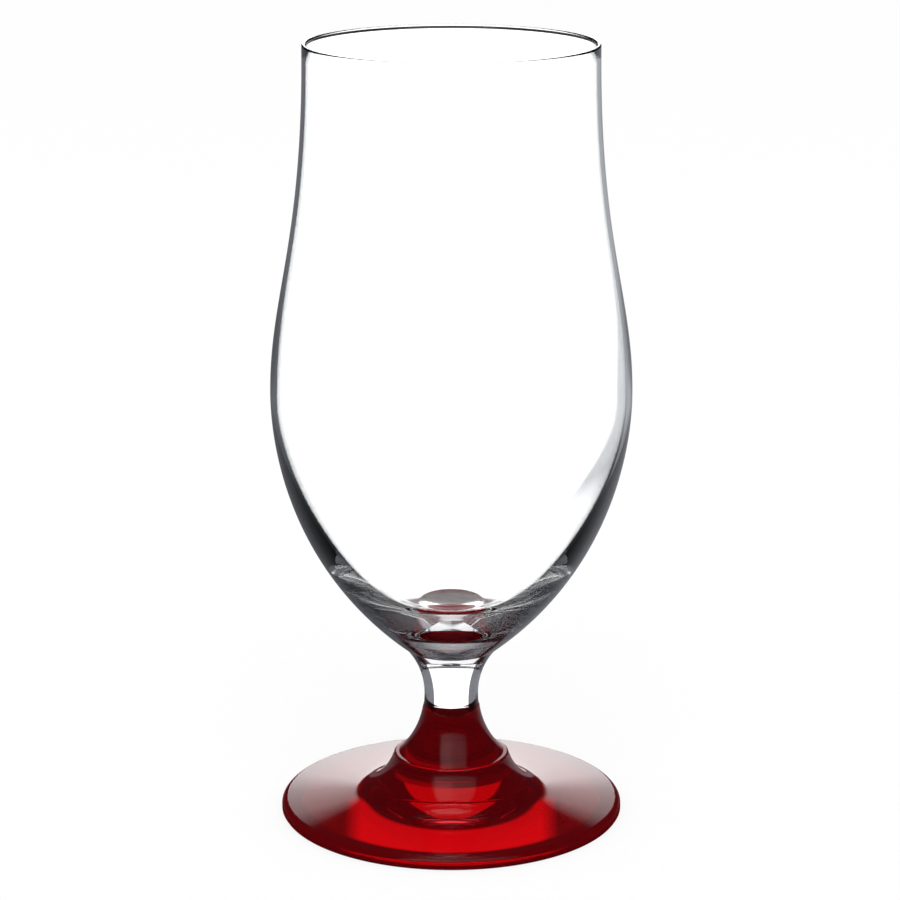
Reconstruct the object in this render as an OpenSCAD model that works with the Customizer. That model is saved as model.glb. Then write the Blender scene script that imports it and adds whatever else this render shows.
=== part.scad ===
// A footed tulip beer glass: a clear bowl on a short solid stem and a round foot.
// A thin red colour film covers the foot and the lower part of the stem.
// Millimetres. +Z is up, and the origin is the centre of the face it stands on.

/* [Bowl] */
// Height of the bowl, from its joint with the stem to the rim
bowl_h = 140.4; // [115:0.1:170]
// Outer diameter at the belly, where the bowl is widest
belly_d = 82.3; // [76:0.1:92]
// Height of the belly above the joint with the stem
belly_h = 60.9; // [52:0.1:70]
// Outer diameter at the rim
rim_d = 66.3; // [58:0.1:74]
// Diameter of the joint between bowl and stem
joint_d = 21.1; // [17:0.1:25]
// Wall thickness at the rim, which has a full round lip
rim_wall = 0.9; // [0.8:0.1:1.4]
// Wall thickness at the belly
belly_wall = 1.4; // [1.1:0.1:2]
// Thickness of the solid glass under the flat middle of the floor
base_t = 8.5; // [7:0.1:10.5]
// Diameter of the floor's flat middle
floor_d = 14.6; // [12:0.2:18]
// Inner diameter at the heel, where the wall starts to turn into the floor
heel_d = 39; // [35:0.5:43]
// Height of the heel above the floor
heel_h = 6.7; // [5.5:0.1:8.5]
// Slope of the wall at the heel, in degrees from level
heel_slope = 35.5; // [33:0.5:42]

/* [Stem] */
// Height of the stem, from the foot's collar to the bowl
stem_h = 25.8; // [20:0.1:36]
// Diameter of the waist, the thinnest place
waist_d = 12.5; // [10:0.1:15]
// Height of the waist above the collar
waist_h = 14.4; // [10:0.1:17]
// Diameter of the lower flare where it meets the collar
stem_base_d = 24.4; // [20:0.1:24.6]

/* [Foot] */
// Height of the collar's top face above the table
collar_h = 13.8; // [11:0.1:17]
// Diameter of the collar
collar_d = 26.6; // [26:0.1:30]
// Radius of the round along the collar's top edge
collar_round = 0.4; // [0.2:0.1:0.6]
// Diameter of the foot
foot_d = 79.3; // [70:0.1:90]
// Diameter at which the steep cone has become the flat flange
flange_d = 42; // [38:0.5:46]
// Height of the upper face at that diameter
flange_h = 4.8; // [4.4:0.1:5.4]
// Thickness of the foot near its edge
edge_t = 2.9; // [2.6:0.1:3.4]
// Radius of the round along the foot's upper edge
edge_round = 1.3; // [0.8:0.1:1.6]
// Radius of the round along the foot's lower edge
sole_round = 0.7; // [0.4:0.1:0.9]
// Width of the flat ring that the foot stands on
rest_w = 4; // [2:0.5:6]
// Depth of the shallow recess under the foot, at its centre
recess_h = 1.6; // [0.8:0.1:2]

/* [Colour film] */
// Thickness of the colour film
film_t = 0.15; // [0.1:0.05:0.3]
// Height of the film's upper edge above the collar
film_h = 11.4; // [8:0.1:13]

/* [Hidden] */
$fn = 128;

// Heights that follow from the pieces
rim_z = collar_h + stem_h + bowl_h;
joint_z = collar_h + stem_h;
belly_z = joint_z + belly_h;
film_z = collar_h + film_h;

// The lip is half round, so the wall's curves end one lip radius below the rim
lip_r = rim_wall / 2;
lip_z = rim_z - lip_r;
rim_r = rim_d / 2;
belly_r = belly_d / 2;
joint_r = joint_d / 2;
inner_rim_r = rim_r - rim_wall;
inner_belly_r = belly_r - belly_wall;

// Handles of the wall's curves, as shares of the height or width that each curve spans
shoulder_low_share = 0.285;
shoulder_high_share = 0.56;
belly_pull_share = 0.152;
tuck_width_share = 0.927;
tuck_height_share = 0.363;
inner_low_share = 0.318;
inner_high_share = 0.563;
inner_pull_share = 0.445;
heel_reach_share = 0.25;

// Steps along each curve
wall_steps = 16;
arc_steps = 10;
lip_steps = 8;
edge_steps = 5;

// A cubic curve from a to d with handles b and c, without its first point
function curve(a, b, c, d, steps) =
    [for (i = [1 : steps]) let (t = i / steps, u = 1 - t)
        u * u * u * a + 3 * u * u * t * b + 3 * u * t * t * c + t * t * t * d];

// A curve from a to c that leaves and arrives along the lines to b, without its first point
function bend(a, b, c, steps) =
    [for (i = [1 : steps]) let (t = i / steps, u = 1 - t) u * u * a + 2 * u * t * b + t * t * c];

// Points on a circle from one angle to another, without the first point
function arc(centre, r, from, to, steps) =
    [for (i = [1 : steps]) let (t = from + (to - from) * i / steps) centre + r * [cos(t), sin(t)]];

// Radius of the arc that runs straight up at the waist and has flared by dr after dz
function flare_radius(dr, dz) = (dr * dr + dz * dz) / (2 * dr);

// Radius of the stem at height dz away from the waist, on a flare of radius r
function flare_at(r, dz) = waist_d / 2 + r - sqrt(r * r - dz * dz);

// Moves each point of an outline by t to its right, square to the line through its neighbours
function shifted(points, t) =
    [for (i = [0 : len(points) - 1]) let (
        ahead = points[min(i + 1, len(points) - 1)],
        behind = points[max(i - 1, 0)],
        along = (ahead - behind) / norm(ahead - behind))
        points[i] + t * [along[1], -along[0]]];

// The same outline in the other direction
function reversed(points) = [for (i = [len(points) - 1 : -1 : 0]) points[i]];

// Outside of the bowl, from the joint up to the lip
bowl_outside = concat(
    [[joint_r, joint_z]],
    curve([joint_r, joint_z],
        [joint_r + (belly_r - joint_r) * tuck_width_share, joint_z + belly_h * tuck_height_share],
        [belly_r, belly_z - belly_h * belly_pull_share],
        [belly_r, belly_z], wall_steps),
    curve([belly_r, belly_z],
        [belly_r, belly_z + (lip_z - belly_z) * shoulder_low_share],
        [rim_r, lip_z - (lip_z - belly_z) * shoulder_high_share],
        [rim_r, lip_z], wall_steps));

// Inside of the bowl, from the lip down to the flat middle of its floor. The wall runs down
// to the heel, and the turn from there meets the floor's edge at a gentle slope.
floor_z = joint_z + base_t;
floor_edge = [floor_d / 2, floor_z];
floor_slope = 9.5;
heel = [heel_d / 2, floor_z + heel_h];
heel_reach = (inner_belly_r - heel[0]) * heel_reach_share;
turn_r = (heel[0] * tan(heel_slope) - heel_h - floor_edge[0] * tan(floor_slope))
    / (tan(heel_slope) - tan(floor_slope));
turn = [turn_r, floor_z + (turn_r - floor_edge[0]) * tan(floor_slope)];
bowl_inside = concat(
    curve([inner_rim_r, lip_z],
        [inner_rim_r, lip_z - (lip_z - belly_z) * inner_high_share],
        [inner_belly_r, belly_z + (lip_z - belly_z) * inner_low_share],
        [inner_belly_r, belly_z], wall_steps),
    curve([inner_belly_r, belly_z],
        [inner_belly_r, belly_z - (belly_z - floor_z) * inner_pull_share],
        heel + heel_reach * [1, tan(heel_slope)],
        heel, wall_steps),
    bend(heel, turn, floor_edge, arc_steps),
    [[0, floor_z]]);

// The lip runs over the top, from the outside of the wall to its inside
lip = arc([rim_r - lip_r, lip_z], lip_r, 0, 180, lip_steps);

// The stem's two flares, as outlines from the collar up to the waist and on to the bowl
waist_z = collar_h + waist_h;
lower_flare_r = flare_radius((stem_base_d - waist_d) / 2, waist_h);
upper_flare_r = flare_radius((joint_d - waist_d) / 2, stem_h - waist_h);

// Outline of the stem between two heights, without its first point
function stem_side(from, to, steps) =
    [for (i = [1 : steps]) let (
        z = from + (to - from) * i / steps,
        r = z < waist_z ? lower_flare_r : upper_flare_r)
        [flare_at(r, z - waist_z), z]];

// The foot's upper side turns once from collar to flange, and once more into the flat flange
foot_r = foot_d / 2;
collar_r = collar_d / 2;
flange_r = flange_d / 2;
collar_top_r = collar_r - collar_round;
collar_side_z = collar_h - collar_round;
flat_r = foot_r - edge_round;
cone_turn_share = 0.28;
cone_turn_height_share = 0.27;
flange_turn_height_share = 0.67;
cone_turn = [collar_r + (flange_r - collar_r) * cone_turn_share,
    flange_h + (collar_side_z - flange_h) * cone_turn_height_share];
cone_slope = (cone_turn[1] - flange_h) / (flange_r - cone_turn[0]);
flange_turn_z = edge_t + (flange_h - edge_t) * flange_turn_height_share;
flange_turn = [flange_r + (flange_h - flange_turn_z) / cone_slope, flange_turn_z];

// Outside of the foot, from the straight side of its edge up to the collar's top face
foot_outside = concat(
    [[foot_r, edge_t - edge_round]],
    arc([flat_r, edge_t - edge_round], edge_round, 0, 90, edge_steps),
    bend([flat_r, edge_t], flange_turn, [flange_r, flange_h], arc_steps),
    bend([flange_r, flange_h], cone_turn, [collar_r, collar_side_z], arc_steps),
    arc([collar_top_r, collar_side_z], collar_round, 0, 90, edge_steps));

// Underside of the foot: the middle of the recess, its lip, the flat ring and the sole round
rest_outer_r = foot_r - sole_round;
rest_inner_r = rest_outer_r - rest_w;
recess_lip = recess_h / 4;
recess_r = rest_inner_r - recess_lip;
recess_width_share = 0.6;
foot_under = concat(
    [[0, recess_h]],
    bend([0, recess_h], [recess_r * recess_width_share, recess_h], [recess_r, recess_lip], arc_steps),
    [[rest_inner_r, 0], [rest_outer_r, 0]],
    arc([rest_outer_r, sole_round], sole_round, -90, 0, edge_steps));

// The film follows the foot's outside and then the stem's lower flare
film_inside = concat([[foot_r, sole_round]], foot_outside,
    [[stem_base_d / 2, collar_h]], stem_side(collar_h, film_z, arc_steps));
film_outside = shifted(film_inside, film_t);

module bowl() {
    color([0.86, 0.92, 0.95, 0.4])
    rotate_extrude()
    polygon(concat([[0, joint_z]], bowl_outside, lip, bowl_inside));
}

module stem() {
    color([0.84, 0.9, 0.93, 0.5])
    rotate_extrude()
    polygon(concat([[0, collar_h], [stem_base_d / 2, collar_h]],
        stem_side(collar_h, waist_z, arc_steps), stem_side(waist_z, joint_z, arc_steps),
        [[0, joint_z]]));
}

module foot() {
    color([0.9, 0.8, 0.82, 0.5])
    rotate_extrude()
    polygon(concat(foot_under, foot_outside, [[0, collar_h]]));
}

module colour_coat() {
    color([0.75, 0.05, 0.1, 0.7])
    rotate_extrude()
    polygon(concat(film_outside, reversed(film_inside)));
}

bowl();
stem();
foot();
colour_coat();
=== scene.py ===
# Footed tulip beer glass: clear bowl and stem, red colour film on the foot and lower stem.
# Blender units are metres. Sizes in the dictionaries are millimetres and go through mm().
import bpy
import bmesh
from math import sin, cos, tan, pi, sqrt, radians
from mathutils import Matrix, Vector


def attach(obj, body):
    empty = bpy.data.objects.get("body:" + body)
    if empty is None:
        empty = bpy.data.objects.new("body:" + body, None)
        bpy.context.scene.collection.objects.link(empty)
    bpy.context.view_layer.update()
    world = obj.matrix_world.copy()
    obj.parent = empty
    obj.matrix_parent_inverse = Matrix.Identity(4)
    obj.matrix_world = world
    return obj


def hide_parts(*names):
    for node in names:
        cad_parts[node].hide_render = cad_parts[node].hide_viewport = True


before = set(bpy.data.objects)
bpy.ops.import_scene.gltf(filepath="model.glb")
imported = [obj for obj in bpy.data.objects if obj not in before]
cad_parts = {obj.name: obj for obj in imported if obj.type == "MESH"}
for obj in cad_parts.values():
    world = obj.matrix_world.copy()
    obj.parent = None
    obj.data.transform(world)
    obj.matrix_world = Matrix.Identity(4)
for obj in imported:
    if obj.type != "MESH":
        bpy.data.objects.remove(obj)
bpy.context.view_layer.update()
scene = bpy.context.scene

# sizes of the CAD nodes, which every piece below shares
glass = {
    "rimZ": 180.0, "rimR": 33.15, "rimWall": 0.9,
    "bellyZ": 100.5, "bellyR": 41.15, "bellyWall": 1.4,
    "jointZ": 39.6, "jointR": 10.55, "floorZ": 48.1, "floorR": 7.3, "floorSlope": 9.5,
    "heelZ": 54.8, "heelR": 19.5, "heelSlope": 35.5,
    "waistZ": 28.2, "waistR": 6.25, "stemBaseR": 12.2,
    "collarZ": 13.8, "collarR": 13.3, "collarRound": 0.4,
    "footR": 39.65, "flangeR": 21.0, "flangeZ": 4.8, "edgeT": 2.9, "edgeRound": 1.3,
    "soleRound": 0.7, "restW": 4.0, "recessH": 1.6,
    "filmT": 0.15, "filmZ": 25.2, "fusedInset": 0.04,
}

# how every piece is meshed: steps round the axis, lengths under which points and edges merge,
# slack for picking faces by height, and the angle in degrees from which an edge stays sharp
meshing = {"spinSteps": 180, "merge": 0.0005, "tinyEdge": 0.0002, "slack": 0.001, "sharpAngle": 35}


def mm(value):
    return value / 1000.0


# outlines are (radius, height) points in millimetres; each curve leaves out its first point
def curve(a, b, c, d, steps):
    a, b, c, d = (Vector(p) for p in (a, b, c, d))
    spots = []
    for i in range(1, steps + 1):
        t = i / steps
        u = 1 - t
        spots.append(tuple(u ** 3 * a + 3 * u * u * t * b + 3 * u * t * t * c + t ** 3 * d))
    return spots


def bend(a, b, c, steps):
    a, b, c = (Vector(p) for p in (a, b, c))
    spots = []
    for i in range(1, steps + 1):
        t = i / steps
        u = 1 - t
        spots.append(tuple(u * u * a + 2 * u * t * b + t * t * c))
    return spots


def arc(centre, radius, start, end, steps):
    spots = []
    for i in range(1, steps + 1):
        t = radians(start + (end - start) * i / steps)
        spots.append((centre[0] + radius * cos(t), centre[1] + radius * sin(t)))
    return spots


def flareRadius(endR, endZ):
    # arc that is upright at the waist and passes through the end point
    wide, high = endR - glass["waistR"], endZ - glass["waistZ"]
    return (wide * wide + high * high) / (2 * wide)


def stemR(z):
    low = z < glass["waistZ"]
    radius = flareRadius(glass["stemBaseR"], glass["collarZ"]) if low \
        else flareRadius(glass["jointR"], glass["jointZ"])
    return glass["waistR"] + radius - sqrt(radius * radius - (z - glass["waistZ"]) ** 2)


def stemSide(low, high, steps):
    return [(stemR(low + (high - low) * i / steps), low + (high - low) * i / steps)
            for i in range(1, steps + 1)]


def offset(spots, distance):
    # moves an outline outwards, square to the line through each point's neighbours
    moved = []
    for i, (r, z) in enumerate(spots):
        ahead = spots[min(i + 1, len(spots) - 1)]
        behind = spots[max(i - 1, 0)]
        along = (Vector(ahead) - Vector(behind)).normalized()
        moved.append((r + along.y * distance, z - along.x * distance))
    return moved


# finishes: colours are sRGB hex, sizes are millimetres
hotGlass = {
    # soda-lime glass, IOR 1.52; forming leaves a faint swell, and washing leaves faint smears
    "ior": 1.52, "swell": 0.05, "swellDepth": 0.2, "swellDetail": 1.5,
    "smearSize": 22.0, "smearDetail": 3.0,
}
bowlGlass = {
    "colour": "#fdfefe", "rough": (0.0, 0.012), "swellSize": 34.0,
    # heights where the painted shade on the lip's inner side begins and ends, and where its painted grey top
    # line begins
    "beadShadeLow": (178.98, 179.12), "beadShadeHigh": (179.78, 179.64), "beadShade": "#010101",
    "lineLow": (179.78, 179.86), "line": "#b4b5b8",
    # painted shade on the thick base by how aslant it is seen, and the heights across which it sets in
    "aslant": [(0, "#ffffff"), (0.44, "#ffffff"), (0.54, "#84868a"), (0.63, "#34363a"),
               (0.74, "#141518"), (1, "#141518")],
    "shaded": (70.0, 61.0),
    # a cone between the base's inside and outside: its radius at height 0 and its growth upwards
    "betweenR": -43.1, "betweenGrowth": 1.19,
}
rodGlass = {
    "colour": "#fdfefe", "rough": (0.0, 0.012), "swellSize": 9.0,
    # painted shade on the stem by how aslant its side is seen
    "sideShade": [(0.255, "#fdfefe"), (0.28, "#222327")],
}
lacquer = {
    "colour": "#f2b0b4", "rough": (0.0, 0.02), "swellSize": 12.0,
    "pigment": "#b80a1c", "pigmentShare": 0.12,
    # dye from below to the film's edge, and how far below that edge it starts and ends to pale
    "dye": [(0, "#dc3840"), (1, "#d8a0a8")], "paleFrom": 5.0, "paleTo": 2.0,
}


def linear(hexColour):
    parts = [int(hexColour[i:i + 2], 16) / 255 for i in (1, 3, 5)]
    return [p / 12.92 if p <= 0.04045 else ((p + 0.055) / 1.055) ** 2.4 for p in parts] + [1.0]


def setStops(elements, stops):
    # a new ramp has two stops already
    for i, (place, colour) in enumerate(stops):
        spot = elements[i] if i < 2 else elements.new(place)
        spot.position = place
        spot.color = linear(colour)


def addNode(tree, kind, settings=None, links=None):
    # settings are attributes, socket values or a ramp's stops; links feed sockets of the new node
    node = tree.nodes.new(kind)
    for name, value in (settings or {}).items():
        if name == "stops":
            setStops(node.color_ramp.elements, value)
        elif isinstance(name, int) or name in node.inputs.keys():
            node.inputs[name].default_value = value
        else:
            setattr(node, name, value)
    for name, source in (links or {}).items():
        tree.links.new(source, node.inputs[name])
    return node


def shareAcross(tree, value, span):
    # 0 at the first and 1 at the second of two lengths in millimetres, either way round
    return addNode(tree, "ShaderNodeMapRange", {"From Min": mm(span[0]), "From Max": mm(span[1])},
                   {"Value": value}).outputs[0]


def fromAxis(tree):
    # height on the object, and the level way and distance out from its axis
    place = addNode(tree, "ShaderNodeTexCoord").outputs["Object"]
    height = addNode(tree, "ShaderNodeSeparateXYZ", None, {"Vector": place}).outputs["Z"]
    level = addNode(tree, "ShaderNodeVectorMath", {"operation": "MULTIPLY", 1: (1, 1, 0)},
                    {0: place}).outputs[0]
    away = addNode(tree, "ShaderNodeVectorMath", {"operation": "LENGTH"}, {0: level}).outputs["Value"]
    return height, level, away


def newMaterial(name):
    mat = bpy.data.materials.new(name)
    mat.use_nodes = True
    mat.node_tree.nodes.clear()
    return mat, mat.node_tree


def glassSurface(tree, finish):
    # smooth clear glass that swells and smears a little, as every hot-made glass does
    place = addNode(tree, "ShaderNodeTexCoord").outputs["Object"]
    swell = addNode(tree, "ShaderNodeTexNoise",
                    {"Scale": 1000 / finish["swellSize"], "Detail": hotGlass["swellDetail"]},
                    {"Vector": place}).outputs["Fac"]
    bump = addNode(tree, "ShaderNodeBump",
                   {"Strength": hotGlass["swell"], "Distance": mm(hotGlass["swellDepth"])},
                   {"Height": swell}).outputs[0]
    smear = addNode(tree, "ShaderNodeTexNoise",
                    {"Scale": 1000 / hotGlass["smearSize"], "Detail": hotGlass["smearDetail"]},
                    {"Vector": place}).outputs["Fac"]
    rough = addNode(tree, "ShaderNodeMapRange",
                    {"To Min": finish["rough"][0], "To Max": finish["rough"][1]},
                    {"Value": smear}).outputs[0]
    return addNode(tree, "ShaderNodeBsdfPrincipled",
                   {"Base Color": linear(finish["colour"]), "IOR": hotGlass["ior"],
                    "Transmission Weight": 1.0},
                   {"Roughness": rough, "Normal": bump})


def clearGlass():
    # blown soda-lime crystal, fire polished: colourless, with a very slight cool cast in depth
    mat, tree = newMaterial("clearBlownGlass")
    shader = glassSurface(tree, bowlGlass)
    # the base colour carries painted shade: a dark band and grey line on the lip, and darker flanks on the
    # thick base
    paintedShade = addNode(tree, "ShaderNodeMixRGB", {"blend_type": "MULTIPLY", "Fac": 1.0},
                   {"Color1": paintedLipShade(tree), "Color2": baseShade(tree)}).outputs[0]
    tree.links.new(paintedShade, shader.inputs["Base Color"])
    addNode(tree, "ShaderNodeOutputMaterial", None, {"Surface": shader.outputs[0]})
    return mat


def baseShade(tree):
    # painted shade: the thick base's outside is painted darker where it is seen aslant, in place of the dark
    # sides of a room that it gathers
    height, level, away = fromAxis(tree)
    facing = addNode(tree, "ShaderNodeLayerWeight", {"Blend": 0.5}).outputs["Facing"]
    shade = addNode(tree, "ShaderNodeValToRGB", {"stops": bowlGlass["aslant"]}, {"Fac": facing}).outputs[0]
    between = addNode(tree, "ShaderNodeMath",
                      {"operation": "MULTIPLY_ADD", 1: bowlGlass["betweenGrowth"],
                       2: mm(bowlGlass["betweenR"])}, {0: height}).outputs[0]
    outside = addNode(tree, "ShaderNodeMath", {"operation": "GREATER_THAN"},
                      {0: away, 1: between}).outputs[0]
    share = addNode(tree, "ShaderNodeMath", {"operation": "MULTIPLY"},
                    {0: shareAcross(tree, height, bowlGlass["shaded"]), 1: outside}).outputs[0]
    return addNode(tree, "ShaderNodeMixRGB", {"Color1": linear("#ffffff")},
                   {"Fac": share, "Color2": shade}).outputs[0]


def paintedLipShade(tree):
    # painted shade: the lip's inner side is painted dark where the fire-polished bead throws aside the light
    # that meets it from within the bowl, and a thin painted grey line follows the top of the lip
    height, level, away = fromAxis(tree)
    back = addNode(tree, "ShaderNodeNewGeometry").outputs["Backfacing"]
    share = addNode(tree, "ShaderNodeMath", {"operation": "SUBTRACT", 0: 1.0}, {1: back}).outputs[0]
    middle = mm(glass["rimR"] - glass["rimWall"] / 2)
    inner = addNode(tree, "ShaderNodeMath", {"operation": "LESS_THAN", 1: middle}, {0: away}).outputs[0]
    for other in (inner, shareAcross(tree, height, bowlGlass["beadShadeLow"]),
                  shareAcross(tree, height, bowlGlass["beadShadeHigh"])):
        share = addNode(tree, "ShaderNodeMath", {"operation": "MULTIPLY"}, {0: share, 1: other}).outputs[0]
    top = shareAcross(tree, height, bowlGlass["lineLow"])
    colour = addNode(tree, "ShaderNodeMixRGB",
                     {"Color1": linear(bowlGlass["colour"]), "Color2": linear(bowlGlass["line"])},
                     {"Fac": top}).outputs[0]
    return addNode(tree, "ShaderNodeMixRGB", {"Color2": linear(bowlGlass["beadShade"])},
                   {"Fac": share, "Color1": colour}).outputs[0]


def stemGlass():
    # pressed solid glass: the same glass as the bowl, with closer ripples from the mould; a solid round rod
    # carries the light of its surroundings only through its middle, so its sides are painted dark here:
    # painted shade by how aslant they are seen
    mat, tree = newMaterial("pressedStemGlass")
    shader = glassSurface(tree, rodGlass)
    tree.links.new(rodSideShade(tree), shader.inputs["Base Color"])
    addNode(tree, "ShaderNodeOutputMaterial", None, {"Surface": shader.outputs[0]})
    return mat


def rodSideShade(tree):
    # painted shade of the upright rod's sides by facing: its normal taken level, straight out from the axis
    height, level, away = fromAxis(tree)
    outwards = addNode(tree, "ShaderNodeVectorMath", {"operation": "NORMALIZE"}, {0: level}).outputs[0]
    facing = addNode(tree, "ShaderNodeLayerWeight", {"Blend": 0.5}, {"Normal": outwards}).outputs["Facing"]
    return addNode(tree, "ShaderNodeValToRGB", {"stops": rodGlass["sideShade"]}, {"Fac": facing}).outputs[0]


def fusedFace():
    # where two pieces of glass are melted together, light passes with no bend and no glint
    mat, tree = newMaterial("fusedFace")
    clear = addNode(tree, "ShaderNodeBsdfTransparent", {"Color": linear("#ffffff")})
    addNode(tree, "ShaderNodeOutputMaterial", None, {"Surface": clear.outputs[0]})
    return mat


def filmGloss():
    # cured translucent lacquer: a glossy skin as dense as the glass, whose pigment scatters a
    # small share of the light
    mat, tree = newMaterial("redLacquerGloss")
    skin = glassSurface(tree, lacquer).outputs[0]
    pigment = addNode(tree, "ShaderNodeBsdfDiffuse", {"Color": linear(lacquer["pigment"])}).outputs[0]
    both = addNode(tree, "ShaderNodeMixShader", {"Fac": lacquer["pigmentShare"]},
                   {1: skin, 2: pigment}).outputs[0]
    addNode(tree, "ShaderNodeOutputMaterial", None, {"Surface": both})
    return mat


def filmDye():
    # the dye in the film filters what passes, twice when light is thrown back inside the glass;
    # the sprayed edge on the stem is thinner, so it is paler
    mat, tree = newMaterial("redLacquerDye")
    height, level, away = fromAxis(tree)
    top = glass["filmZ"]
    fade = shareAcross(tree, height, (top - lacquer["paleFrom"], top - lacquer["paleTo"]))
    dye = addNode(tree, "ShaderNodeValToRGB", {"stops": lacquer["dye"]}, {"Fac": fade}).outputs[0]
    clear = addNode(tree, "ShaderNodeBsdfTransparent", None, {"Color": dye})
    addNode(tree, "ShaderNodeOutputMaterial", None, {"Surface": clear.outputs[0]})
    return mat


# pieces
def revolve(name, spots, closed, slotOf, materials):
    # spins an outline about Z; slotOf picks a face's material from its middle's radius and height
    # and from lean, which is above zero where the face looks outwards or up
    bm = bmesh.new()
    verts = [bm.verts.new((mm(r), 0, mm(z))) for r, z in spots]
    pairs = list(zip(verts, verts[1:])) + ([(verts[-1], verts[0])] if closed else [])
    edges = [bm.edges.new(pair) for pair in pairs]
    bmesh.ops.spin(bm, geom=verts + edges, cent=(0, 0, 0), axis=(0, 0, 1), angle=2 * pi,
                   steps=meshing["spinSteps"], use_merge=True, use_duplicate=False)
    bmesh.ops.remove_doubles(bm, verts=bm.verts, dist=mm(meshing["merge"]))
    bmesh.ops.dissolve_degenerate(bm, edges=bm.edges, dist=mm(meshing["tinyEdge"]))
    bmesh.ops.recalc_face_normals(bm, faces=bm.faces)
    for face in bm.faces:
        face.smooth = True
        middle = face.calc_center_median()
        lean = face.normal.dot(middle.xy.to_3d().normalized()) + face.normal.z
        face.material_index = slotOf(middle.xy.length * 1000, middle.z * 1000, lean)
    mesh = bpy.data.meshes.new(name)
    bm.to_mesh(mesh)
    bm.free()
    for mat in materials:
        mesh.materials.append(mat)
    mesh.set_sharp_from_angle(angle=radians(meshing["sharpAngle"]))
    piece = bpy.data.objects.new(name, mesh)
    scene.collection.objects.link(piece)
    return piece


bowl = {
    "wallSteps": 48, "lipSteps": 14, "jointRings": 6,
    "shoulderLow": 0.285, "shoulderHigh": 0.56, "bellyPull": 0.152,
    "tuckWidth": 0.927, "tuckHeight": 0.363,
    "innerLow": 0.318, "innerHigh": 0.563, "innerPull": 0.445, "heelReach": 0.25,
    "floorSteps": 8,
}


def makeBowl(materials):
    g, b = glass, bowl
    lipR = g["rimWall"] / 2
    lipZ = g["rimZ"] - lipR
    upper = lipZ - g["bellyZ"]
    lower = g["bellyZ"] - g["jointZ"]
    innerRim, innerBelly = g["rimR"] - g["rimWall"], g["bellyR"] - g["bellyWall"]
    joint, belly = (g["jointR"], g["jointZ"]), (g["bellyR"], g["bellyZ"])
    spots = [(g["jointR"] * i / b["jointRings"], g["jointZ"]) for i in range(b["jointRings"] + 1)]
    spots += curve(joint,
                   (joint[0] + (belly[0] - joint[0]) * b["tuckWidth"],
                    joint[1] + lower * b["tuckHeight"]),
                   (belly[0], belly[1] - lower * b["bellyPull"]), belly, b["wallSteps"])
    spots += curve(belly, (belly[0], belly[1] + upper * b["shoulderLow"]),
                   (g["rimR"], lipZ - upper * b["shoulderHigh"]), (g["rimR"], lipZ), b["wallSteps"])
    spots += arc((g["rimR"] - lipR, lipZ), lipR, 0, 180, b["lipSteps"])
    spots += curve((innerRim, lipZ), (innerRim, lipZ - upper * b["innerHigh"]),
                   (innerBelly, g["bellyZ"] + upper * b["innerLow"]),
                   (innerBelly, g["bellyZ"]), b["wallSteps"])
    # the wall runs down to the heel, turns there and reaches the floor's flat disc
    steep, flat = tan(radians(g["heelSlope"])), tan(radians(g["floorSlope"]))
    heel, floor = (g["heelR"], g["heelZ"]), (g["floorR"], g["floorZ"])
    reach = (innerBelly - heel[0]) * b["heelReach"]
    turnR = (floor[1] - heel[1] + steep * heel[0] - flat * floor[0]) / (steep - flat)
    pull = (g["bellyZ"] - g["floorZ"]) * b["innerPull"]
    spots += curve((innerBelly, g["bellyZ"]), (innerBelly, g["bellyZ"] - pull),
                   (heel[0] + reach, heel[1] + steep * reach), heel, b["wallSteps"])
    spots += bend(heel, (turnR, floor[1] + flat * (turnR - floor[0])), floor, b["wallSteps"] // 2)
    spots += [(g["floorR"] * (1 - i / b["floorSteps"]), g["floorZ"]) for i in range(1, b["floorSteps"] + 1)]
    return revolve("clearBowl", spots, False,
                   lambda r, z, lean: 1 if z < g["jointZ"] + meshing["slack"] else 0, materials)


stem = {"flareSteps": 28, "discRings": 5}
film = {
    # rings beside the sprayed edge, how far from it they may slide, and how deep under the skin
    "edgeRings": 12, "edgeBand": 4.0, "edgeDepth": 0.5,
    # the edge isn't quite level or even: its drop, and waves as height, number round, start
    "edgeDrop": 0.45,
    "edgeWaves": [(0.95, 2, pi / 2), (-0.7, 1, 0.0), (0.12, 3, 1.1), (0.06, 7, 0.0), (0.03, 13, 2.0)],
}


def filmEdge(angle):
    # higher at the sides, lowest at the back
    return sum(high * sin(number * angle + start) for high, number, start in film["edgeWaves"]) \
        - film["edgeDrop"]


def waveFilmEdge(piece):
    # slides the rings near the film's edge up and down the stem's own surface
    top, band = glass["filmZ"], film["edgeBand"]
    for vert in piece.data.vertices:
        z = vert.co.z * 1000
        r = vert.co.xy.length * 1000
        if abs(z - top) < band and r > stemR(z) - film["edgeDepth"]:
            near = 1 - abs(z - top) / band
            angle = Vector((vert.co.x, vert.co.y)).angle_signed(Vector((1, 0)))
            newZ = z + near * filmEdge(angle)
            out = r - stemR(z)
            grow = (stemR(newZ) + out) / r
            vert.co = Vector((vert.co.x * grow, vert.co.y * grow, mm(newZ)))


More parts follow.
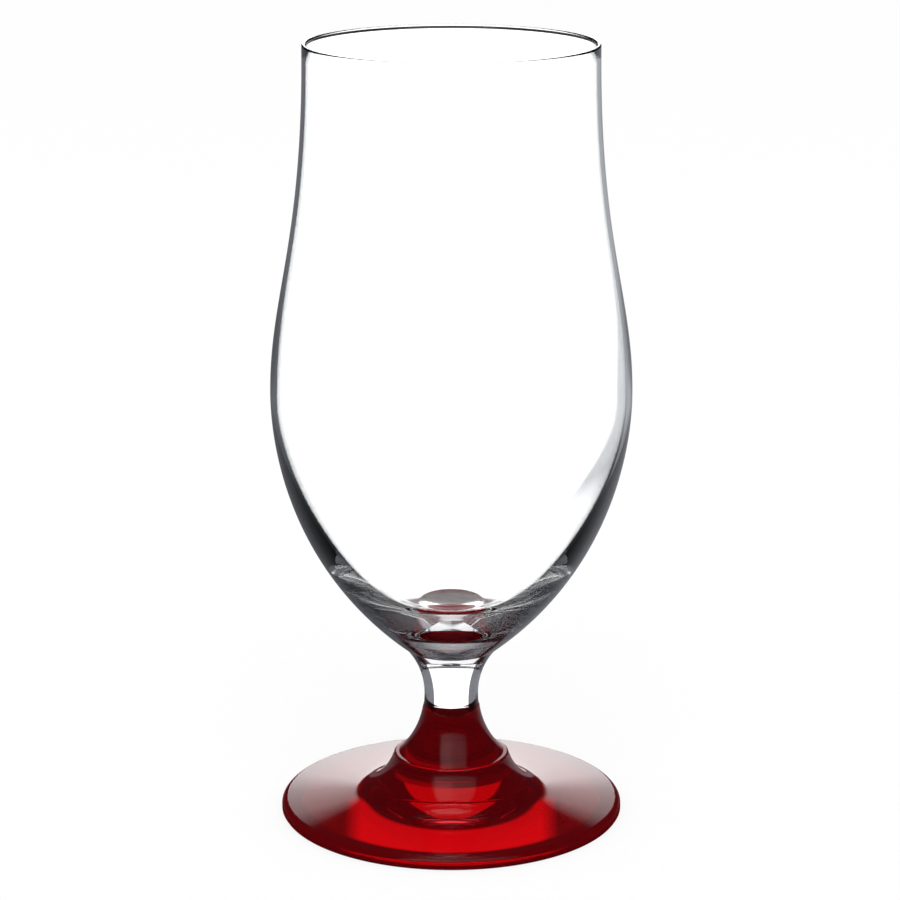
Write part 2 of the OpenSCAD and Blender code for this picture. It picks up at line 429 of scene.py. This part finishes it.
def makeStem(materials):
    g, s, f = glass, stem, film
    spots = [(g["stemBaseR"] * i / s["discRings"], g["collarZ"]) for i in range(s["discRings"] + 1)]
    coated = [(g["stemBaseR"], g["collarZ"])]
    coated += stemSide(g["collarZ"], g["filmZ"] - f["edgeBand"], s["flareSteps"])
    coated += stemSide(g["filmZ"] - f["edgeBand"], g["filmZ"], f["edgeRings"])
    spots += offset(coated, -g["fusedInset"])[1:-1] + coated[-1:]
    spots += stemSide(g["filmZ"], g["filmZ"] + f["edgeBand"], f["edgeRings"])
    spots += stemSide(g["filmZ"] + f["edgeBand"], g["jointZ"], s["flareSteps"])
    spots += [(g["jointR"] * (1 - i / s["discRings"]), g["jointZ"]) for i in range(1, s["discRings"] + 1)]
    piece = revolve("solidStem", spots, False,
                    lambda r, z, lean: 1 if z < g["filmZ"] or z > g["jointZ"] - meshing["slack"] else 0,
                    materials)
    waveFilmEdge(piece)
    return piece


foot = {
    "bendSteps": 30, "edgeSteps": 10, "collarSteps": 8,
    "coneTurn": 0.28, "coneTurnHeight": 0.27, "flangeTurnHeight": 0.67,
    "recessLip": 0.25, "recessWidth": 0.6, "topRings": 6,
}


def footTop():
    # outside of the foot, from the straight side of its edge up to the collar's top face
    g, f = glass, foot
    flatR, collarTopR = g["footR"] - g["edgeRound"], g["collarR"] - g["collarRound"]
    sideZ = g["collarZ"] - g["collarRound"]
    flange = (g["flangeR"], g["flangeZ"])
    coneTurn = (g["collarR"] + (g["flangeR"] - g["collarR"]) * f["coneTurn"],
                g["flangeZ"] + (sideZ - g["flangeZ"]) * f["coneTurnHeight"])
    slope = (coneTurn[1] - flange[1]) / (flange[0] - coneTurn[0])
    turnZ = g["edgeT"] + (g["flangeZ"] - g["edgeT"]) * f["flangeTurnHeight"]
    flangeTurn = (g["flangeR"] + (g["flangeZ"] - turnZ) / slope, turnZ)
    spots = [(g["footR"], g["edgeT"] - g["edgeRound"])]
    spots += arc((flatR, g["edgeT"] - g["edgeRound"]), g["edgeRound"], 0, 90, f["edgeSteps"])
    spots += bend((flatR, g["edgeT"]), flangeTurn, flange, f["bendSteps"])
    spots += bend(flange, coneTurn, (g["collarR"], sideZ), f["bendSteps"])
    spots += arc((collarTopR, sideZ), g["collarRound"], 0, 90, f["collarSteps"])
    return spots


def makeFoot(materials):
    g, f = glass, foot
    restOuter = g["footR"] - g["soleRound"]
    restInner = restOuter - g["restW"]
    lip = g["recessH"] * f["recessLip"]
    recessR = restInner - lip
    spots = [(0, g["recessH"])]
    spots += bend((0, g["recessH"]), (recessR * f["recessWidth"], g["recessH"]), (recessR, lip),
                  f["bendSteps"])
    spots += [(restInner, 0), (restOuter, 0)]
    spots += arc((restOuter, g["soleRound"]), g["soleRound"], -90, 0, f["edgeSteps"])
    spots += offset(footTop(), -g["fusedInset"])
    spots[-1] = (spots[-1][0], g["collarZ"] - g["fusedInset"])
    rings = f["topRings"]
    spots += [(spots[-1][0] * (1 - i / rings), spots[-1][1]) for i in range(1, rings + 1)]

    def slotOf(r, z, lean):
        under = r < recessR and z < g["recessH"] + meshing["slack"]
        edge = z < g["soleRound"]
        return 0 if under or edge else 1
    return revolve("solidFoot", spots, False, slotOf, materials)


def makeFilm(materials):
    g, s, f = glass, stem, film
    inner = [(g["footR"], g["soleRound"])] + footTop() + [(g["stemBaseR"], g["collarZ"])]
    inner += stemSide(g["collarZ"], g["filmZ"] - f["edgeBand"], s["flareSteps"])
    inner += stemSide(g["filmZ"] - f["edgeBand"], g["filmZ"], f["edgeRings"])
    outer = offset(inner, g["filmT"])
    spots = outer + inner[::-1]
    # faces that look into the glass carry the dye
    piece = revolve("colourFilm", spots, True,
                    lambda r, z, lean: 1 if lean < 0 and z > g["soleRound"] + meshing["slack"] else 0,
                    materials)
    waveFilmEdge(piece)
    return piece


clear = clearGlass()
fused = fusedFace()
parts = {
    "bowl": (makeBowl([clear, fused]), "clear_glass"),
    "stem": (makeStem([stemGlass(), fused]), "clear_glass"),
    "foot": (makeFoot([clear, fused]), "clear_glass"),
    "colour_coat": (makeFilm([filmGloss(), filmDye()]), "red_film"),
}
for node, (piece, slotName) in parts.items():
    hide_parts(node)
    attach(piece, "root")
print("pieces:", ", ".join(piece.name for piece, slotName in parts.values()))

# panels that the outer skin mirrors, as greys by compass and by height in degrees
panels = {
    "backdrop": {"glow": 2.9,
                 "across": [(-180, "#000000"), (-9.5, "#000000"), (-8.5, "#ffffff"), (8.5, "#ffffff"),
                            (10, "#000000"), (180, "#000000")],
                 "up": [(-90, "#a0a0a0"), (-10, "#a8a8a8"), (0, "#c8c8c8"), (7, "#f4f4f4"), (14, "#ffffff"),
                        (17, "#fbfbfb"), (20, "#c4c4c4"), (24, "#9c9c9c"), (26.5, "#000000")]},
    "overhead": {"glow": 1.05,
                 "across": [(-180, "#000000"), (-12, "#000000"), (-10, "#ffffff"), (9, "#ffffff"),
                            (11, "#000000"), (180, "#000000")],
                 "up": [(-90, "#000000"), (46, "#000000"), (50, "#c8c8c8"), (60, "#ffffff"), (68, "#f4f4f4"),
                        (73, "#b8b8b8"), (80, "#b0b0b0"), (83, "#000000")]},
    "front": {"glow": 0.7,
              "across": [(-180, "#ffffff"), (-150, "#ffffff"), (-140, "#000000"), (128, "#000000"),
                         (134, "#b8b8b8"), (150, "#c8c8c8"), (180, "#e8e8e8")],
              "up": [(-90, "#000000"), (20, "#000000"), (24, "#d8d8d8"), (40, "#ffffff"), (66, "#f4f4f4"),
                     (69, "#000000"), (90, "#000000")]},
}

# studio: the camera and lamp are in millimetres
studio = {
    "lens": 124.24, "sensorWidth": 36.0, "clipStart": 50.0,
    "cameraBack": 685.98, "cameraUp": 270.7, "pitch": 15.003, "cameraSide": -0.3,
    "softboxPower": 7.0, "softboxSize": (1500.0, 700.0), "softboxAt": (0.0, -950.0, 1250.0), "aimZ": 90.0,
    "floorSize": 6000.0, "paper": "#f4f4f4", "whiteShare": 0.82,
    # brightness of what bent and mirrored light meets, and of the backdrop seen through the glass
    "throughGlow": 1.14, "backGlow": 1.6,
    # greys by compass, in degrees to the right of straight back: seen through both walls
    "throughStops": [(-180, "#ffffff"), (15, "#ffffff"), (17, "#8e8f93"), (34, "#8e8f93"), (36, "#ffffff"),
                     (180, "#ffffff")],
    # what light thrown back inside the glass meets: floor near the glass, and near and far greys
    "nearFloor": (140.0, 200.0), "turnedNear": "#38393c",
    "turnedFar": [(-180, "#ffffff"), (-145, "#ffffff"), (-135, "#303134"), (-34, "#58595e"), (-1, "#58595e"),
                  (1, "#a4a7ac"), (34, "#a4a7ac"), (37, "#303134"), (135, "#303134"), (145, "#ffffff"),
                  (180, "#ffffff")],
    "turnedHigh": [(-180, "#5c5e62"), (-120, "#5c5e62"), (-110, "#2c2d30"), (-30, "#2c2d30"),
                   (-28, "#ffffff"), (26, "#ffffff"), (28, "#2c2d30"), (110, "#2c2d30"), (120, "#5c5e62"),
                   (180, "#5c5e62")],
    # what the outer skin mirrors of the floor, and of the room between the panels
    "mirrorFloor": [(-180, "#303032"), (-75, "#303032"), (-45, "#6c6d72"), (-2, "#6c6d72"), (2, "#8e8f94"),
                    (45, "#8e8f94"), (75, "#3a3a3d"), (180, "#303032")],
    "mirrorDark": "#202022",
    # upward shares of a ray where the far greys end and where the ceiling starts, behind the glass
    "lowTop": (0.19, 0.23), "ceilingFrom": (0.38, 0.44), "behind": (-0.1, 0.1), "ceiling": "#2a2b2e",
    # painted light on the floor under the foot: a dark red painted shadow for what the film lets through,
    # and a painted bright red crescent in front where the cone gathers it
    "footEdge": (42.0, 46.0), "paintedUnderFoot": (0.045, 0.003, 0.005, 1.0), "paintedCaustic": (0.95, 0.05, 0.08, 1.0),
    "paintedCausticX": (24.5, 20.5), "paintedCausticY": (2.0, -2.0), "paintedCausticR": (34.0, 32.5),
    "paintedCausticFrom": (17.5, 19.5),
    # glass lets light bounce many times, and a ray needs more than this many crossings for both walls
    "bounces": 24, "glossyBounces": 16, "bothWalls": 2.5,
}


def makeCamera():
    data = bpy.data.cameras.new("photoCamera")
    data.lens = studio["lens"]
    data.sensor_width = studio["sensorWidth"]
    data.clip_start = mm(studio["clipStart"])
    camera = bpy.data.objects.new("photoCamera", data)
    camera.location = (mm(studio["cameraSide"]), -mm(studio["cameraBack"]), mm(studio["cameraUp"]))
    camera.rotation_euler = (radians(90 - studio["pitch"]), 0, 0)
    scene.collection.objects.link(camera)
    scene.camera = camera


def compassGreys(tree, way, stops):
    # greys of the studio by compass: degrees to the right of straight back
    turn = addNode(tree, "ShaderNodeMath", {"operation": "ARCTAN2"}, {0: way["X"], 1: way["Y"]}).outputs[0]
    share = addNode(tree, "ShaderNodeMapRange", {"From Min": -pi, "From Max": pi},
                    {"Value": turn}).outputs[0]
    places = [(degrees / 360 + 0.5, colour) for degrees, colour in stops]
    return addNode(tree, "ShaderNodeValToRGB", {"stops": places}, {"Fac": share}).outputs[0]


def heightGreys(tree, way, stops):
    # greys of the studio by height above the horizon in degrees
    share = addNode(tree, "ShaderNodeMapRange", {"From Min": -1.0, "From Max": 1.0},
                    {"Value": way["Z"]}).outputs[0]
    places = [((sin(radians(degrees)) + 1) / 2, colour) for degrees, colour in stops]
    return addNode(tree, "ShaderNodeValToRGB", {"stops": places}, {"Fac": share}).outputs[0]


def plainGrey(value):
    return (value, value, value, 1.0)


def mirrorPanels(tree, way):
    # the panels' light, added up over a dark room
    total = addNode(tree, "ShaderNodeRGB").outputs[0]
    total.default_value = linear(studio["mirrorDark"])
    for panel in panels.values():
        light = addNode(tree, "ShaderNodeMixRGB", {"blend_type": "MULTIPLY", "Fac": 1.0},
                        {"Color1": compassGreys(tree, way, panel["across"]),
                         "Color2": heightGreys(tree, way, panel["up"])}).outputs[0]
        light = addNode(tree, "ShaderNodeMixRGB",
                        {"blend_type": "MULTIPLY", "Fac": 1.0, "Color2": plainGrey(panel["glow"])},
                        {"Color1": light}).outputs[0]
        total = addNode(tree, "ShaderNodeMixRGB", {"blend_type": "ADD", "Fac": 1.0},
                        {"Color1": total, "Color2": light}).outputs[0]
    return total


def rayKinds(tree):
    # shares, 0 or 1: bent or mirrored by the glass; crossed both walls; and thrown back inside one wall
    path = addNode(tree, "ShaderNodeLightPath").outputs
    bent = addNode(tree, "ShaderNodeMath", {"operation": "MAXIMUM"},
                   {0: path["Is Transmission Ray"], 1: path["Is Glossy Ray"]}).outputs[0]
    crossed = addNode(tree, "ShaderNodeMath", {"operation": "GREATER_THAN", 1: studio["bothWalls"]},
                      {0: path["Transmission Depth"]}).outputs[0]
    turned = addNode(tree, "ShaderNodeMath", {"operation": "GREATER_THAN", 1: 0.5},
                     {0: path["Glossy Depth"]}).outputs[0]
    turned = addNode(tree, "ShaderNodeMath", {"operation": "SUBTRACT", "use_clamp": True},
                     {0: turned, 1: crossed}).outputs[0]
    return path, bent, crossed, turned


def throughLight(tree, way, crossed):
    # the white backdrop through the glass; through both walls it has a pale grey side at the right
    far = addNode(tree, "ShaderNodeMixRGB", {"Color1": linear("#ffffff")},
                  {"Fac": crossed, "Color2": compassGreys(tree, way, studio["throughStops"])}).outputs[0]
    return addNode(tree, "ShaderNodeMixRGB",
                   {"blend_type": "MULTIPLY", "Fac": 1.0, "Color2": plainGrey(studio["backGlow"])},
                   {"Color1": far}).outputs[0]


def paintedUnderFoot(tree, way, away):
    # painted light: a bright red crescent painted on the front half of the floor under the foot, where the
    # cone gathers light, over the dark red painted shadow
    side = addNode(tree, "ShaderNodeMath", {"operation": "ABSOLUTE"}, {0: way["X"]}).outputs[0]
    share = shareAcross(tree, side, studio["paintedCausticX"])
    for value, span in ((way["Y"], "paintedCausticY"), (away, "paintedCausticR"), (away, "paintedCausticFrom")):
        other = shareAcross(tree, value, studio[span])
        share = addNode(tree, "ShaderNodeMath", {"operation": "MULTIPLY"}, {0: share, 1: other}).outputs[0]
    return addNode(tree, "ShaderNodeMixRGB", {"Color1": studio["paintedUnderFoot"], "Color2": studio["paintedCaustic"]},
                   {"Fac": share}).outputs[0]


def makeFloor():
    bm = bmesh.new()
    bmesh.ops.create_grid(bm, x_segments=1, y_segments=1, size=mm(studio["floorSize"]) / 2)
    mesh = bpy.data.meshes.new("studioFloor")
    bm.to_mesh(mesh)
    bm.free()
    floor = bpy.data.objects.new("studioFloor", mesh)
    scene.collection.objects.link(floor)
    mat, tree = newMaterial("whiteFloor")
    place = addNode(tree, "ShaderNodeTexCoord").outputs["Object"]
    way = addNode(tree, "ShaderNodeSeparateXYZ", None, {"Vector": place}).outputs
    away = addNode(tree, "ShaderNodeVectorMath", {"operation": "LENGTH"}, {0: place}).outputs["Value"]
    path, bent, crossed, turned = rayKinds(tree)
    far = shareAcross(tree, away, studio["nearFloor"])
    through = addNode(tree, "ShaderNodeMixRGB", {"Color1": plainGrey(studio["backGlow"])},
                      {"Fac": far, "Color2": throughLight(tree, way, crossed)}).outputs[0]
    thrown = addNode(tree, "ShaderNodeMixRGB", {"Color1": linear(studio["turnedNear"])},
                     {"Fac": far, "Color2": compassGreys(tree, way, studio["turnedFar"])}).outputs[0]
    pattern = addNode(tree, "ShaderNodeMixRGB", None,
                      {"Fac": turned, "Color1": through, "Color2": thrown}).outputs[0]
    pattern = addNode(tree, "ShaderNodeMixRGB", None,
                      {"Fac": path["Is Reflection Ray"], "Color1": pattern,
                       "Color2": compassGreys(tree, way, studio["mirrorFloor"])}).outputs[0]
    # under the foot only light that the film has let through arrives: painted here as a dark red painted
    # shadow with a painted bright crescent
    clear = shareAcross(tree, away, studio["footEdge"])
    pattern = addNode(tree, "ShaderNodeMixRGB", None,
                      {"Fac": clear, "Color1": paintedUnderFoot(tree, way, away), "Color2": pattern}).outputs[0]
    # straight looks see mostly plain white, and enough paper to keep the glass's shadow
    seen = addNode(tree, "ShaderNodeMath", {"operation": "MULTIPLY", 1: studio["whiteShare"]},
                   {0: path["Is Camera Ray"]}).outputs[0]
    paper = addNode(tree, "ShaderNodeBsdfDiffuse", {"Color": linear(studio["paper"])}).outputs[0]
    white = addNode(tree, "ShaderNodeEmission", {"Color": linear("#ffffff"), "Strength": 1.0}).outputs[0]
    panel = addNode(tree, "ShaderNodeEmission", {"Strength": studio["throughGlow"]},
                    {"Color": pattern}).outputs[0]
    both = addNode(tree, "ShaderNodeMixShader", None, {"Fac": seen, 1: paper, 2: white}).outputs[0]
    both = addNode(tree, "ShaderNodeMixShader", None, {"Fac": bent, 1: both, 2: panel}).outputs[0]
    addNode(tree, "ShaderNodeOutputMaterial", None, {"Surface": both})
    mesh.materials.append(mat)


def makeWorld():
    # straight looks see plain white; bent and mirrored rays see the greys, panels and ceiling
    world = bpy.data.worlds.new("studioWorld")
    world.use_nodes = True
    scene.world = world
    tree = world.node_tree
    tree.nodes.clear()
    way = addNode(tree, "ShaderNodeSeparateXYZ", None,
                  {"Vector": addNode(tree, "ShaderNodeTexCoord").outputs["Generated"]}).outputs
    path, bent, crossed, turned = rayKinds(tree)
    shares = {}
    for name, axis in (("behind", "Y"), ("ceilingFrom", "Z"), ("lowTop", "Z")):
        shares[name] = addNode(tree, "ShaderNodeMapRange",
                               {"From Min": studio[name][0], "From Max": studio[name][1]},
                               {"Value": way[axis]}).outputs[0]
    # the ceiling behind the glass is dark
    ceiling = addNode(tree, "ShaderNodeMath", {"operation": "MULTIPLY"},
                      {0: shares["ceilingFrom"], 1: shares["behind"]}).outputs[0]
    through = addNode(tree, "ShaderNodeMixRGB", {"Color2": linear(studio["ceiling"])},
                      {"Fac": ceiling, "Color1": throughLight(tree, way, crossed)}).outputs[0]
    thrown = addNode(tree, "ShaderNodeMixRGB", None,
                     {"Fac": shares["lowTop"], "Color1": compassGreys(tree, way, studio["turnedFar"]),
                      "Color2": compassGreys(tree, way, studio["turnedHigh"])}).outputs[0]
    pattern = addNode(tree, "ShaderNodeMixRGB", None,
                      {"Fac": turned, "Color1": through, "Color2": thrown}).outputs[0]
    pattern = addNode(tree, "ShaderNodeMixRGB", None,
                      {"Fac": path["Is Reflection Ray"], "Color1": pattern,
                       "Color2": mirrorPanels(tree, way)}).outputs[0]
    lit = addNode(tree, "ShaderNodeBackground", {"Strength": studio["throughGlow"]},
                  {"Color": pattern}).outputs[0]
    white = addNode(tree, "ShaderNodeBackground", {"Color": linear("#ffffff"), "Strength": 1.0}).outputs[0]
    both = addNode(tree, "ShaderNodeMixShader", None, {"Fac": bent, 1: white, 2: lit}).outputs[0]
    addNode(tree, "ShaderNodeOutputWorld", None, {"Surface": both})


def makeSoftbox(name, power, size, at):
    data = bpy.data.lights.new(name, "AREA")
    data.shape = "RECTANGLE"
    data.size, data.size_y = mm(size[0]), mm(size[1])
    data.energy = power
    lamp = bpy.data.objects.new(name, data)
    lamp.location = [mm(v) for v in at]
    toGlass = Vector((0, 0, mm(studio["aimZ"]))) - lamp.location
    lamp.rotation_euler = toGlass.to_track_quat("-Z", "Y").to_euler()
    scene.collection.objects.link(lamp)
    # the panels above stand for what the glass mirrors of it
    lamp.visible_glossy = False
    lamp.visible_transmission = False


makeCamera()
makeFloor()
makeWorld()
makeSoftbox("frontSoftbox", studio["softboxPower"], studio["softboxSize"], studio["softboxAt"])
scene.view_settings.view_transform = "Standard"
scene.cycles.max_bounces = studio["bounces"]
scene.cycles.transmission_bounces = studio["bounces"]
scene.cycles.transparent_max_bounces = studio["bounces"]
scene.cycles.glossy_bounces = studio["glossyBounces"]
print("studio ready")
